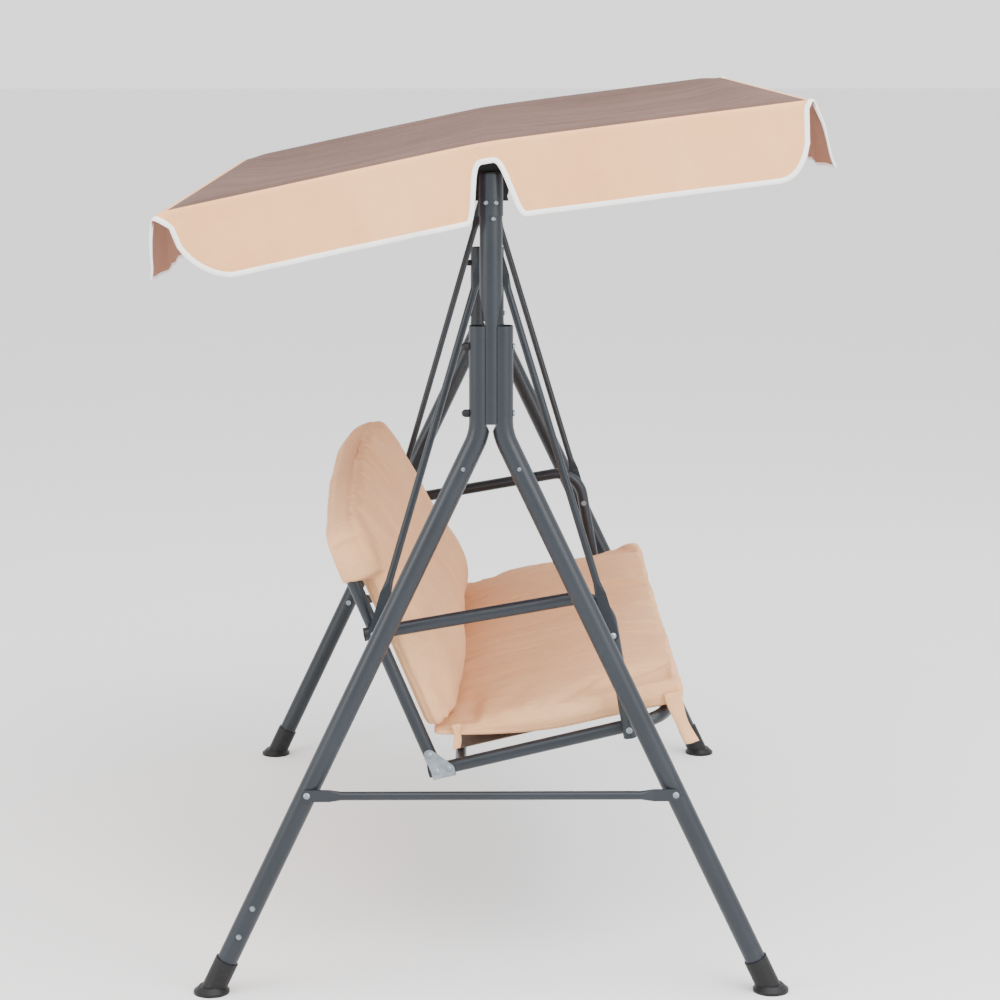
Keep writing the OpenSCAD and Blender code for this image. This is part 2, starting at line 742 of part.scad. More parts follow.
module back_cushion() {
    color(beige) on_back() translate([0, -tube_r - back_pad_gap, 0]) rotate([90, 0, 0])
        linear_extrude(height = back_t) back_outline();
}

// Cloth tabs that tie the cushion: long ones at the front corners, short ones at the rear
module corner_ties() {
    color(beige) on_seat() for (side = [right, left]) {
        tie_x = side > 0 ? cushion_x + fit : -cushion_x - fit - tie_t;
        translate([tie_x, -cushion_back - cushion_depth, cushion_z - 80]) cube([tie_t, 26, 110]);
        translate([tie_x, -cushion_back - 22, cushion_z + 14]) cube([tie_t, 14, 34]);
    }
}

/* Canopy */

// Fixed plate on the beam beside each post
module canopy_bracket(side) {
    color(black) translate([side * canopy_plate_x, 0, beam_z]) rotate([90, 0, 90])
        linear_extrude(height = plate_t, center = true) difference() {
            polygon([[-31, -29], [31, -29], [20, 20], [-20, 20]]);
            circle(r = beam_r + fit);
        }
}

// Turning plate that carries the canopy's arms
module canopy_hub(side) {
    top = canopy_arm_z + canopy_arm_r - 3;
    color(slate) on_canopy() translate([side * hub_x, 0, 0]) rotate([90, 0, 90])
        linear_extrude(height = plate_t, center = true) difference() {
            polygon([[-26, -24], [26, -24], [arm_joint + 14, top - 22],
                [arm_joint + 14, top - 4], [0, top], [-arm_joint - 14, top - 4],
                [-arm_joint - 14, top - 22]]);
            circle(r = beam_r + fit);
            for (end = [front, rear]) translate(arm_bolt_place(end)) circle(r = bolt_r + fit);
        }
}
function arm_bolt_place(end) = [end * arm_joint, canopy_arm_z - arm_joint * tan(eave_slope)];

module canopy_arm(side, end) {
    far = (rail_y - rail_r - fit) / cos(eave_slope);
    color(slate) on_canopy() difference() {
        translate([side * canopy_arm_x, 0, canopy_arm_z]) rotate([end * -(90 + eave_slope), 0, 0])
            translate([0, 0, arm_start]) tube([[far - arm_start, 0, 0]], canopy_arm_d, 1.2);
        along_x(side * (canopy_arm_x - canopy_arm_d), side * (canopy_arm_x + canopy_arm_d),
            arm_bolt_place(end), bolt_r + fit);
    }
}

module canopy_rail(end) {
    reach = valance_x - cloth_t / 2 - fit;
    color(slate) on_canopy() difference() {
        along_x(-reach, reach, [end * rail_y, rail_z], rail_r);
        along_x(-reach - over, reach + over, [end * rail_y, rail_z], rail_r - 1.2);
    }
}

module canopy_bolts() {
    color(zinc) on_canopy() for (side = [right, left]) for (end = [front, rear])
        cross_bolt(side, canopy_arm_x - canopy_arm_r, hub_x + plate_t / 2, arm_bolt_place(end));
}

module canopy_roof() {
    wide = 2 * valance_x - cloth_t;
    color(taupe) on_canopy() translate([-wide / 2, 0, 0]) rotate([90, 0, 90])
        linear_extrude(height = wide) polygon([
            [-eave_reach, eave_z], [0, ridge_lift], [eave_reach, eave_z],
            [eave_reach, eave_z - cloth_t], [0, ridge_lift - cloth_t],
            [-eave_reach, eave_z - cloth_t]
        ]);
}

// A valance along an eave: it rolls over the eave, then hangs outwards to its hem
module eave_valance(end, flare) {
    wide = 2 * (valance_x - 18);
    roll = 28;
    roll_drop = 18;
    corner = 60;
    hem = eave_z - valance_drop;
    color(beige) on_canopy() mirror([0, end < 0 ? 1 : 0, 0]) intersection() {
        translate([-wide / 2, 0, 0]) rotate([90, 0, 90]) linear_extrude(height = wide) polygon([
            [eave_reach, eave_z], [eave_reach + roll, eave_z - roll_drop],
            [eave_reach + flare, hem], [eave_reach + flare - cloth_t, hem],
            [eave_reach + roll - cloth_t, eave_z - roll_drop - cloth_t],
            [eave_reach, eave_z - cloth_t]
        ]);
        rotate([-90, 0, 0]) linear_extrude(height = eave_reach + 100) union() {
            translate([-wide / 2, -eave_z - over]) square([wide, valance_drop - corner + over]);
            translate([corner - wide / 2, -eave_z]) square([wide - 2 * corner, valance_drop]);
            for (s = [-1, 1]) translate([s * (wide / 2 - corner), corner - hem - corner - corner])
                circle(r = corner);
        }
    }
}

// A valance down one end of the canopy, with a notch that clears the beam
module end_valance(side) {
    past = 14;
    corner = 70;
    fall = past * tan(eave_slope);
    hem = eave_z - fall - valance_drop;
    color(beige) on_canopy() translate([side * valance_x, 0, 0]) rotate([90, 0, 90])
        linear_extrude(height = cloth_t, center = true) difference() {
            polygon([
                [-eave_reach - past, eave_z - fall], [0, ridge_lift],
                [eave_reach + past, eave_z - fall], [eave_reach + past, hem],
                [0, ridge_lift - valance_drop], [-eave_reach - past, hem]
            ]);
            for (end = [front, rear]) translate([end * (eave_reach + past - corner), hem + corner])
                difference() {
                    translate([end > 0 ? 0 : -corner - over, -corner - over])
                        square([corner + over, corner + over]);
                    circle(r = corner);
                }
            translate([0, notch_z]) circle(r = notch_half);
            translate([-notch_half, ridge_lift - valance_drop - over])
                square([2 * notch_half, notch_z - ridge_lift + valance_drop + over]);
        }
}
leg(right, front);  // leg_front_right
leg(right, rear);  // leg_rear_right
leg(left, front);  // leg_front_left
leg(left, rear);  // leg_rear_left
post(right);  // post_right
post(left);  // post_left
post_sleeves();
post_caps();
top_beam();
brace(right);  // brace_right
brace(left);  // brace_left
feet();
leg_bolts();
leg_cap_nuts();
brace_bolts();
rear_leg_bolts();
leg_rivets();
sleeve_bolts();
hanger_brackets();
hanger_pins();
canopy_bracket(right);  // canopy_bracket_right
canopy_bracket(left);  // canopy_bracket_left
upper_hooks();
springs();
lower_hooks();
link_bolts();
link(right, rear_link_x, rear_link_x, seat_point(arm_rear_bolt));  // rear_link_right
link(left, rear_link_x, rear_link_x, seat_point(arm_rear_bolt));  // rear_link_left
link(right, front_link_x, rear_link_x, seat_point(front_link_bolt));  // front_link_right
link(left, front_link_x, rear_link_x, seat_point(front_link_bolt));  // front_link_left
arm(right);  // arm_right
arm(left);  // arm_left
seat_frame();
back_frame();
rear_rail();
corner_bracket(right);  // corner_bracket_right
corner_bracket(left);  // corner_bracket_left
corner_bolts();
arm_bolts();
tube_plugs();
seat_sling();
seat_cushion();
back_cushion();
corner_ties();
canopy_hub(right);  // canopy_hub_right
canopy_hub(left);  // canopy_hub_left
canopy_arm(right, front);  // canopy_arm_front_right
canopy_arm(left, front);  // canopy_arm_front_left
canopy_arm(right, rear);  // canopy_arm_rear_right
canopy_arm(left, rear);  // canopy_arm_rear_left
canopy_rail(front);  // canopy_front_rail
canopy_rail(rear);  // canopy_rear_rail
canopy_bolts();
canopy_roof();
eave_valance(front, front_flare);  // valance_front
eave_valance(rear, rear_flare);  // valance_rear
end_valance(right);  // valance_right
end_valance(left);  // valance_left
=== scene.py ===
# Canopy swing: looks, cloth, light and camera over the fixed frame
import bpy
import json
import math
import numpy as np
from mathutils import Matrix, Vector


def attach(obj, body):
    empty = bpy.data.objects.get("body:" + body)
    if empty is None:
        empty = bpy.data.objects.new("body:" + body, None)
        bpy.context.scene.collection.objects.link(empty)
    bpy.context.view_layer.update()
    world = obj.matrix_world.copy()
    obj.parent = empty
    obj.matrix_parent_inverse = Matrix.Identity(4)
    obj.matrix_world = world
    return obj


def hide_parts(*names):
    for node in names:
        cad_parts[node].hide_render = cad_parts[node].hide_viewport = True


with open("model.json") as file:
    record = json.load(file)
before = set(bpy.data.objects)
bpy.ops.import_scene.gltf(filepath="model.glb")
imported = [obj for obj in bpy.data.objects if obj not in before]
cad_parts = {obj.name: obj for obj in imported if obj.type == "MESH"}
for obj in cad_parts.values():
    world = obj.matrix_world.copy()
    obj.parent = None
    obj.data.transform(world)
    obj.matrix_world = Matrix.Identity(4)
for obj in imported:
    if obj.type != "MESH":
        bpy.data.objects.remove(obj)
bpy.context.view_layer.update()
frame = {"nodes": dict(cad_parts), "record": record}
nodes = frame["nodes"]
print("frame loaded:", len(nodes), "nodes")


# ---- places the cloth is built from, in metres and degrees

seatPlace = {"y": 0.10145, "z": 0.37856, "rise": 13.3, "lean": 23.0}  # rear corner and the two tilts
canopyPlace = {"z": 1.478, "pitch": 9.7}  # beam axis and the canopy's tilt


def tilt(points, degrees, y, z):
    # turns (x, ahead, up) about x by the tilt, with ahead towards -y, then moves it to y, z
    a = math.radians(degrees)
    out = np.empty_like(points)
    out[..., 0] = points[..., 0]
    out[..., 1] = y - points[..., 1] * math.cos(a) + points[..., 2] * math.sin(a)
    out[..., 2] = z + points[..., 1] * math.sin(a) + points[..., 2] * math.cos(a)
    return out


def onSeat(points):
    return tilt(points, seatPlace["rise"], seatPlace["y"], seatPlace["z"])


def onBack(points):
    return tilt(points, seatPlace["lean"], seatPlace["y"], seatPlace["z"])


def onCanopy(points):
    # here ahead counts towards the rear, so the canopy's own y is kept
    flipped = points * np.array([1.0, -1.0, 1.0])
    return tilt(flipped, canopyPlace["pitch"], 0.0, canopyPlace["z"])


# ---- shader maths as plain expressions

class Wire:
    # one output socket that can be added to, taken from a number and multiplied
    def __init__(self, tree, socket):
        self.tree = tree
        self.socket = socket

    def maths(self, operation, first, second):
        node = self.tree.nodes.new("ShaderNodeMath")
        node.operation = operation
        for slot, value in zip(node.inputs, (first, second)):
            plug(self.tree, slot, value)
        return Wire(self.tree, node.outputs[0])

    def __add__(self, other): return self.maths("ADD", self, other)
    def __radd__(self, other): return self.maths("ADD", other, self)
    def __rsub__(self, other): return self.maths("SUBTRACT", other, self)
    def __mul__(self, other): return self.maths("MULTIPLY", self, other)


def plug(tree, slot, value):
    if isinstance(value, Wire):
        tree.links.new(value.socket, slot)
    else:
        slot.default_value = value


class Finish:
    # a material with its node tree and its surface shader
    def __init__(self, name, **fixed):
        self.material = bpy.data.materials.new(name)
        self.material.use_nodes = True
        self.tree = self.material.node_tree
        self.surface = self.tree.nodes["Principled BSDF"]
        for key, value in fixed.items():
            self.surface.inputs[key.replace("_", " ")].default_value = value

    def node(self, kind, settings=None, inputs=None, out=0):
        node = self.tree.nodes.new(kind)
        for key, value in (settings or {}).items():
            setattr(node, key, value)
        for key, value in (inputs or {}).items():
            plug(self.tree, node.inputs[key], value)
        return Wire(self.tree, node.outputs[out])

    def place(self, scale=(1, 1, 1), turn=(0, 0, 0), source="Object"):
        coords = self.node("ShaderNodeTexCoord", out=source)
        return self.node("ShaderNodeMapping", None, {"Vector": coords, "Scale": scale, "Rotation": turn})

    def noise(self, place, scale, detail=3.0, rough=0.55):
        return self.node("ShaderNodeTexNoise", None,
                         {"Vector": place, "Scale": scale, "Detail": detail, "Roughness": rough})

    def range(self, value, low, high, toLow, toHigh):
        return self.node("ShaderNodeMapRange", None,
                         {"Value": value, "From Min": low, "From Max": high, "To Min": toLow, "To Max": toHigh})

    def mix(self, factor, first, second):
        return self.node("ShaderNodeMix", {"data_type": "RGBA"}, {0: factor, 6: first, 7: second}, out=2)

    def feed(self, **wires):
        for key, value in wires.items():
            plug(self.tree, self.surface.inputs[key.replace("_", " ")], value)

    def bump(self, height, distance, strength=1.0, under=None):
        inputs = {"Height": height, "Distance": distance, "Strength": strength}
        if under is not None:
            inputs["Normal"] = under
        return self.node("ShaderNodeBump", None, inputs)


def powderCoat(name, look):
    # baked powder paint: a fine orange peel, thin scuffs and dust in patches
    f = Finish(name, Metallic=0.0, Specular_IOR_Level=0.38, Coat_Weight=0.08, Coat_Roughness=0.2)
    here = f.place()
    patch = f.range(f.noise(here, 5.0, 4.0), 0.35, 0.7, 0.0, 1.0)
    grain = f.noise(here, 900.0, 2.0)
    peel = f.noise(here, 260.0, 2.0, 0.4)
    scuff = f.range(f.noise(f.place((60, 60, 4)), 8.0, 6.0, 0.7), 0.66, 0.74, 0.0, 1.0)
    base = f.mix(patch, look["dark"], look["light"])
    base = f.mix(scuff * 0.35, base, look["scuff"])
    f.feed(Base_Color=base, Roughness=look["rough"] + patch * 0.08 + grain * 0.06,
           Normal=f.bump(peel + grain * 0.3, look["peel"], 0.5))
    return f.material


def zincPlate(name, look):
    # bright zinc: fine rolled grain, cloudy patches and a little grey bloom
    f = Finish(name, Metallic=0.9)
    grain = f.noise(f.place((1, 1, 26)), 180.0, 3.0)
    cloud = f.range(f.noise(f.place(), 38.0, 5.0), 0.35, 0.68, 0.0, 1.0)
    base = f.mix(cloud, look["bright"], look["bloom"])
    f.feed(Base_Color=base, Roughness=0.26 + cloud * 0.2 + grain * 0.08,
           Normal=f.bump(grain + cloud * 0.4, 0.00015, 0.6))
    return f.material


def mouldedPlastic(name, look):
    # black moulded plastic: spark texture, with scuffs where it is handled or stood on
    f = Finish(name, Specular_IOR_Level=0.3)
    spark = f.noise(f.place(), 620.0, 2.0)
    scuff = f.range(f.noise(f.place((1, 1, 3)), 46.0, 6.0, 0.7), 0.58, 0.72, 0.0, 1.0)
    f.feed(Base_Color=f.mix(scuff * 0.5, look["base"], look["scuff"]),
           Roughness=0.42 + spark * 0.12 + scuff * 0.15, Normal=f.bump(spark, 0.0002, 0.7))
    return f.material


def wovenCloth(name, look, source="Object"):
    # plain weave: two crossed sets of threads, uneven yarn, faded patches and fine creases, with painted shade
    # between the threads
    f = Finish(name, Sheen_Weight=look["sheen"], Sheen_Roughness=0.5, Specular_IOR_Level=0.25)
    here = f.place(source=source)
    pitch = look["threads"]
    across = f.node("ShaderNodeTexWave", {"wave_type": "BANDS", "bands_direction": "X"},
                    {"Vector": here, "Scale": pitch, "Distortion": 0.6, "Detail": 1.0}, out=1)
    along = f.node("ShaderNodeTexWave", {"wave_type": "BANDS", "bands_direction": look["second"]},
                   {"Vector": here, "Scale": pitch, "Distortion": 0.6, "Detail": 1.0}, out=1)
    yarn = f.noise(f.place(look["slub"], source=source), 40.0, 4.0)
    fade = f.range(f.noise(f.place(), 3.4, 5.0, 0.6), 0.3, 0.72, 0.0, 1.0)
    crease = f.noise(f.place(look["creases"], (0, 0, 0.15)), 7.0, 6.0, 0.62)
    fold = f.range(crease, 0.46, 0.54, 0.0, 1.0)
    weave = across * along
    base = f.mix(fade, look["deep"], look["pale"])
    base = f.mix(yarn * 0.35, base, look["yarn"])
    # painted shade: a darker colour where the threads part
    base = f.mix((1.0 - weave) * 0.22, base, look["threadShade"])
    lumps = f.bump(fold * 0.5 + crease, look["creaseDepth"], 0.5)
    f.feed(Base_Color=base, Roughness=0.78 + yarn * 0.16,
           Normal=f.bump(weave + yarn * 0.5, 0.0005, 0.45, lumps))
    return f.material


def foldedTape(name, look):
    # bias binding: a ribbed tape, a little grubby
    f = Finish(name, Sheen_Weight=0.2)
    rib = f.node("ShaderNodeTexWave", {"wave_type": "BANDS", "bands_direction": "X"},
                 {"Vector": f.place(source="UV"), "Scale": look["ribs"], "Distortion": 0.4}, out=1)
    soil = f.range(f.noise(f.place(), 18.0, 5.0), 0.4, 0.75, 0.0, 1.0)
    # besides the patches of real soil, the soil colour is laid faintly along the ribs as painted shade in the
    # grooves
    f.feed(Base_Color=f.mix(soil * 0.4 + rib * 0.12, look["base"], look["soil"]), Roughness=0.72 + soil * 0.15,
           Normal=f.bump(rib, 0.0003, 0.5))
    return f.material


looks = {
    "slate": {"dark": (0.0075, 0.011, 0.0155, 1), "light": (0.0115, 0.0165, 0.023, 1),
              "scuff": (0.045, 0.055, 0.068, 1), "rough": 0.33, "peel": 0.0003},
    "blackPaint": {"dark": (0.004, 0.004, 0.005, 1), "light": (0.008, 0.008, 0.010, 1),
                   "scuff": (0.03, 0.03, 0.034, 1), "rough": 0.38, "peel": 0.0003},
    "zinc": {"bright": (0.27, 0.31, 0.345, 1), "bloom": (0.165, 0.195, 0.22, 1)},
    "plastic": {"base": (0.005, 0.005, 0.006, 1), "scuff": (0.03, 0.03, 0.032, 1)},
    "cushion": {"deep": (0.71, 0.36, 0.16, 1), "pale": (0.82, 0.47, 0.24, 1), "yarn": (0.86, 0.54, 0.30, 1),
                "threadShade": (0.50, 0.24, 0.14, 1), "threads": 210.0, "second": "Y", "slub": (1, 9, 9),
                "creases": (5.0, 0.9, 0.9), "creaseDepth": 0.004, "sheen": 0.05},
    "valance": {"deep": (0.80, 0.37, 0.15, 1), "pale": (0.90, 0.46, 0.20, 1), "yarn": (0.92, 0.54, 0.28, 1),
                "threadShade": (0.52, 0.26, 0.15, 1), "threads": 210.0, "second": "Y", "slub": (9, 1, 1),
                "creases": (3.0, 1.0, 0.7), "creaseDepth": 0.002, "sheen": 0.05},
    # the roof top: the valances' own cloth painted darker and greyer, as painted shade on the top face
    "roof": {"deep": (0.085, 0.040, 0.028, 1), "pale": (0.135, 0.068, 0.050, 1), "yarn": (0.18, 0.10, 0.078, 1),
             "threadShade": (0.09, 0.052, 0.04, 1), "threads": 210.0, "second": "Y", "slub": (9, 1, 1),
             "creases": (9.0, 0.5, 1.0), "creaseDepth": 0.005, "sheen": 0.04},
    # the inside of the flaps: the valance colour darkened as painted shade
    "innerShade": {"deep": (0.36, 0.16, 0.10, 1), "pale": (0.44, 0.21, 0.135, 1), "yarn": (0.50, 0.27, 0.19, 1),
               "threadShade": (0.22, 0.10, 0.06, 1), "threads": 210.0, "second": "Y", "slub": (9, 1, 1),
               "creases": (3.0, 1.0, 0.7), "creaseDepth": 0.002, "sheen": 0.03},
    "sling": {"deep": (0.10, 0.075, 0.06, 1), "pale": (0.15, 0.115, 0.095, 1), "yarn": (0.2, 0.16, 0.14, 1),
              "threadShade": (0.02, 0.017, 0.015, 1), "threads": 130.0, "second": "Y", "slub": (4, 4, 1),
              "creases": (1.0, 1.0, 1.0), "creaseDepth": 0.002, "sheen": 0.02},
    "tape": {"base": (0.90, 0.89, 0.87, 1), "soil": (0.66, 0.64, 0.61, 1), "ribs": 90.0},
}

slate = powderCoat("slatePowderCoat", looks["slate"])
blackPaint = powderCoat("blackPaint", looks["blackPaint"])
zinc = zincPlate("zincPlate", looks["zinc"])
plastic = mouldedPlastic("blackPlastic", looks["plastic"])
cushionCloth = wovenCloth("cushionCloth", looks["cushion"])
valanceCloth = wovenCloth("valanceCloth", looks["valance"], "UV")
innerShadeCloth = wovenCloth("innerShadeCloth", looks["innerShade"], "UV")
# the roof takes a darkened copy of the valance cloth: painted shade
shadedRoofCloth = wovenCloth("shadedRoofCloth", looks["roof"], "UV")
slingCloth = wovenCloth("slingMesh", looks["sling"])
tape = foldedTape("hemTape", looks["tape"])
print("finishes made")


def dress(node, material):
    node.data.materials.clear()
    node.data.materials.append(material)


finishOf = {"tube": slate, "zinc": zinc, "black_metal": blackPaint, "black_plastic": plastic,
            "cushion_cloth": cushionCloth, "sling_cloth": slingCloth,
            "roof_cloth": shadedRoofCloth, "valance_cloth": valanceCloth}
for part in frame["record"]["subparts"]:
    dress(nodes[part["node"]], finishOf[part["material_slot"]])
print("frame dressed")


# ---- mesh helpers

def meshPiece(name, points, faces, materials, body, uv=None, slots=None):
    mesh = bpy.data.meshes.new(name)
    mesh.from_pydata(points.tolist(), [], faces)
    for material in materials:
        mesh.materials.append(material)
    if slots is not None:
        mesh.polygons.foreach_set("material_index", slots.astype(np.int32))
    if uv is not None:
        layer = mesh.uv_layers.new(name="cloth")
        corners = np.empty(len(mesh.loops), dtype=np.int32)
        mesh.loops.foreach_get("vertex_index", corners)
        layer.data.foreach_set("uv", uv[corners].astype(np.float32).ravel())
    mesh.polygons.foreach_set("use_smooth", np.ones(len(faces), dtype=bool))
    mesh.update()
    piece = bpy.data.objects.new(name, mesh)
    bpy.context.scene.collection.objects.link(piece)
    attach(piece, body)
    return piece


def thicken(piece, thickness, offset):
    thick = piece.modifiers.new("thickness", "SOLIDIFY")
    thick.thickness = thickness
    thick.offset = offset
    return thick


def unitRows(v):
    return v / np.maximum(np.linalg.norm(v, axis=-1, keepdims=True), 1e-9)


swelling = {"cap": 0.010, "growth": 0.05, "pressure": 0.6, "frames": 20, "quality": 4}


def swell(points, quads, held):
    # the cloth of a pad, a little longer than its shape, is blown up from inside with its
    # held points fixed: each move m becomes cap * tanh(m / cap), so none is over the cap
    p = swelling
    mesh = bpy.data.meshes.new("swelling")
    mesh.from_pydata(points.tolist(), [], quads.tolist())
    mesh.update()
    piece = bpy.data.objects.new("swelling", mesh)
    scene = bpy.context.scene
    scene.collection.objects.link(piece)
    group = piece.vertex_groups.new(name="held")
    group.add(np.nonzero(held)[0].tolist(), 1.0, "REPLACE")
    cloth = piece.modifiers.new("cloth", "CLOTH")
    cloth.settings.vertex_group_mass = "held"
    cloth.settings.quality = p["quality"]
    cloth.settings.use_pressure = True
    cloth.settings.uniform_pressure_force = p["pressure"]
    cloth.settings.shrink_min = -p["growth"]
    cloth.settings.effector_weights.gravity = 0
    cloth.collision_settings.use_collision = False
    for number in range(1, p["frames"] + 1):
        scene.frame_set(number)
    blown = piece.evaluated_get(bpy.context.evaluated_depsgraph_get())
    found = np.empty(len(points) * 3)
    blown.to_mesh().vertices.foreach_get("co", found)
    move = found.reshape(-1, 3) - points
    blown.to_mesh_clear()
    bpy.data.objects.remove(piece)
    bpy.data.meshes.remove(mesh)
    scene.frame_set(1)
    far = np.linalg.norm(move, axis=1, keepdims=True)
    return points + move * p["cap"] * np.tanh(far / p["cap"]) / np.maximum(far, 1e-9)


def subdivide(piece):
    finer = piece.modifiers.new("finer", "SUBSURF")
    finer.levels = finer.render_levels = 1


def cellQuads(i):
    # each square joins two neighbours in one row to the same two in the next
    return np.stack([i[:-1, :-1], i[1:, :-1], i[1:, 1:], i[:-1, 1:]], -1).reshape(-1, 4)


def gridQuads(rows, columns, base=0):
    return cellQuads(np.arange(rows * columns).reshape(rows, columns) + base)


def boxShell(nx, ny, nz):
    # the six sides of a unit box as grids, joined into one closed sheet
    points, quads, base = [], [], 0
    for axis, (first, second) in enumerate(((ny, nz), (nz, nx), (nx, ny))):
        for side in (-1, 1):
            u, v = np.meshgrid(np.linspace(-1, 1, first + 1), np.linspace(-1, 1, second + 1), indexing="ij")
            p = np.empty(u.shape + (3,))
            p[..., axis], p[..., (axis + 1) % 3], p[..., (axis + 2) % 3] = side, u, v
            q = gridQuads(first + 1, second + 1, base)
            points.append(p.reshape(-1, 3))
            quads.append(q if side > 0 else q[:, ::-1])
            base += u.size
    points, quads = np.concatenate(points), np.concatenate(quads)
    _, first, back = np.unique(np.round(points * 1e5).astype(np.int64), axis=0,
                               return_index=True, return_inverse=True)
    return points[first], back.reshape(-1)[quads]


def softBox(half, radius, counts):
    # a box whose edges are rolled to a radius: the part of each point past an inner box is
    # set to that length; the second result is each point's place from -1 to 1
    unit, quads = boxShell(*counts)
    half = np.array(half)
    full = unit * half
    inner = np.clip(full, -(half - radius), half - radius)
    past = full - inner
    size = np.linalg.norm(past, axis=1, keepdims=True)
    points = inner + radius * past / np.maximum(size, 1e-9)
    return points, points / half, quads


def outward(points, quads):
    # the mean of the normals of the faces round each point
    a, b, c, d = (points[quads[:, i]] for i in range(4))
    across = np.cross(c - a, d - b)
    total = np.zeros_like(points)
    for i in range(4):
        np.add.at(total, quads[:, i], across)
    return total / np.maximum(np.linalg.norm(total, axis=1, keepdims=True), 1e-12)


def ripple(points, seed, scale, count=9, stretch=(1, 1, 1)):
    # a sum of plane waves in random directions, about -1 to 1
    rng = np.random.default_rng(seed)
    ways = rng.normal(size=(count, 3)) * np.array(stretch) * scale
    return np.sin(points @ ways.T + rng.uniform(0, 2 * math.pi, count)).sum(1) / math.sqrt(count) / 1.4


def step(value, low, high):
    # 0 before low, 1 after high and 3t^2 - 2t^3 between
    t = np.clip((value - low) / (high - low), 0, 1)
    return t * t * (3 - 2 * t)


def pinches(points, seed, scale, sharp, stretch):
    # narrow valleys where a slow wave crosses zero
    wave = ripple(points, seed, scale, 7, stretch)
    return -np.exp(-(wave / sharp) ** 2)


# ---- cushions

seatPad = {"halfWidth": 0.645, "rear": 0.014, "front": 0.480, "low": 0.0162, "top": 0.072,
           "roll": 0.013, "crown": 0.015, "rearLift": 0.046, "heldBelow": 0.6, "counts": (168, 56, 10)}


def makeSeatPad(p):
    # a boxed pad: its underside lifts at the rear, its top is crowned, and its sides pull in
    # between the corners; gathers run off the seams and long creases cross the top
    halfDepth = (p["front"] - p["rear"]) / 2
    halfTall = (p["top"] - p["low"]) / 2
    points, unit, quads = softBox((p["halfWidth"], halfDepth, halfTall), p["roll"], p["counts"])
    a, b, c = unit.T
    ahead = points[:, 1] + p["rear"] + halfDepth
    dome = (1 - a ** 6) * (1 - b ** 4)
    low = p["low"] + p["rearLift"] * np.clip((0.26 - ahead) / 0.246, 0, 1) ** 1.6
    behind = step(ahead, 0.12, 0.02)
    under = step(-ahead, -0.10, -0.02)
    top = p["top"] + p["crown"] * dome - 0.006 * behind + 0.010 * under
    up = low + (top - low) * (c + 1) / 2
    x = points[:, 0] * (1 - 0.012 * (1 - b ** 2)) + 0.006 * a * (1 - c ** 2) * (1 - b ** 4)
    y = ahead + 0.006 * b * (1 - c ** 2) - 0.004 * b * (1 - a ** 2)
    shape = np.stack([x, y, up], 1)
    seat = np.stack([x, y, c * 0.02], 1)
    edgeX = (1 - np.abs(a)) * p["halfWidth"]
    edgeY = (1 - np.abs(b)) * halfDepth
    edge = np.minimum(edgeX, edgeY)
    normal = outward(shape, quads)
    along = np.where(edgeX < edgeY, y, x)
    puckers = 0.35 + 0.65 * ripple(seat, 4, 5.0)
    gathers = np.sin(along * 120 + 7.0 * ripple(seat, 3, 9.0)) * np.exp(-edge / 0.035) * 0.0017 * puckers
    lumps = ripple(seat, 5, 8.0, 9) * 0.0035 + ripple(seat, 6, 22.0, 11, (1, 0.5, 1)) * 0.0012
    fading = 0.5 + 0.5 * ripple(seat, 14, 6.0, 7)
    creases = (pinches(seat, 8, 26.0, 0.16, (1.0, 0.16, 0.1)) * 0.0030 * fading
               + pinches(seat, 9, 62.0, 0.20, (1.0, 0.12, 0.1)) * 0.0012)
    seams = -0.0030 * (np.exp(-((up - top + 0.012) / 0.0045) ** 2)
                       + np.exp(-((up - low - 0.012) / 0.0045) ** 2))
    side = step(np.abs(normal[:, 2]), 0.8, 0.3)
    topSide = step(c, -0.4, 0.6)
    shift = (gathers + seams * side + (lumps + creases) * topSide
             + ripple(seat, 12, 40.0, 9) * 0.0012 * side)
    shape = shape + normal * shift[:, None]
    shape = swell(shape, quads, c < p["heldBelow"])
    shape[:, 2] = np.maximum(shape[:, 2], low - 0.0004)
    piece = meshPiece("seatPad", onSeat(shape), quads.tolist(), [cushionCloth], "seat")
    subdivide(piece)
    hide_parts("seat_cushion")


backPad = {"halfWidth": 0.645, "bottom": 0.072, "top": 0.494, "rear": 0.0135, "thick": 0.048,
           "roll": 0.021, "crown": 0.042, "corner": 0.076, "sleeveFrom": 0.388, "sleeveHalf": 0.677,
           "sleeveRear": -0.0185, "heldBelow": 0.6, "counts": (168, 54, 10)}


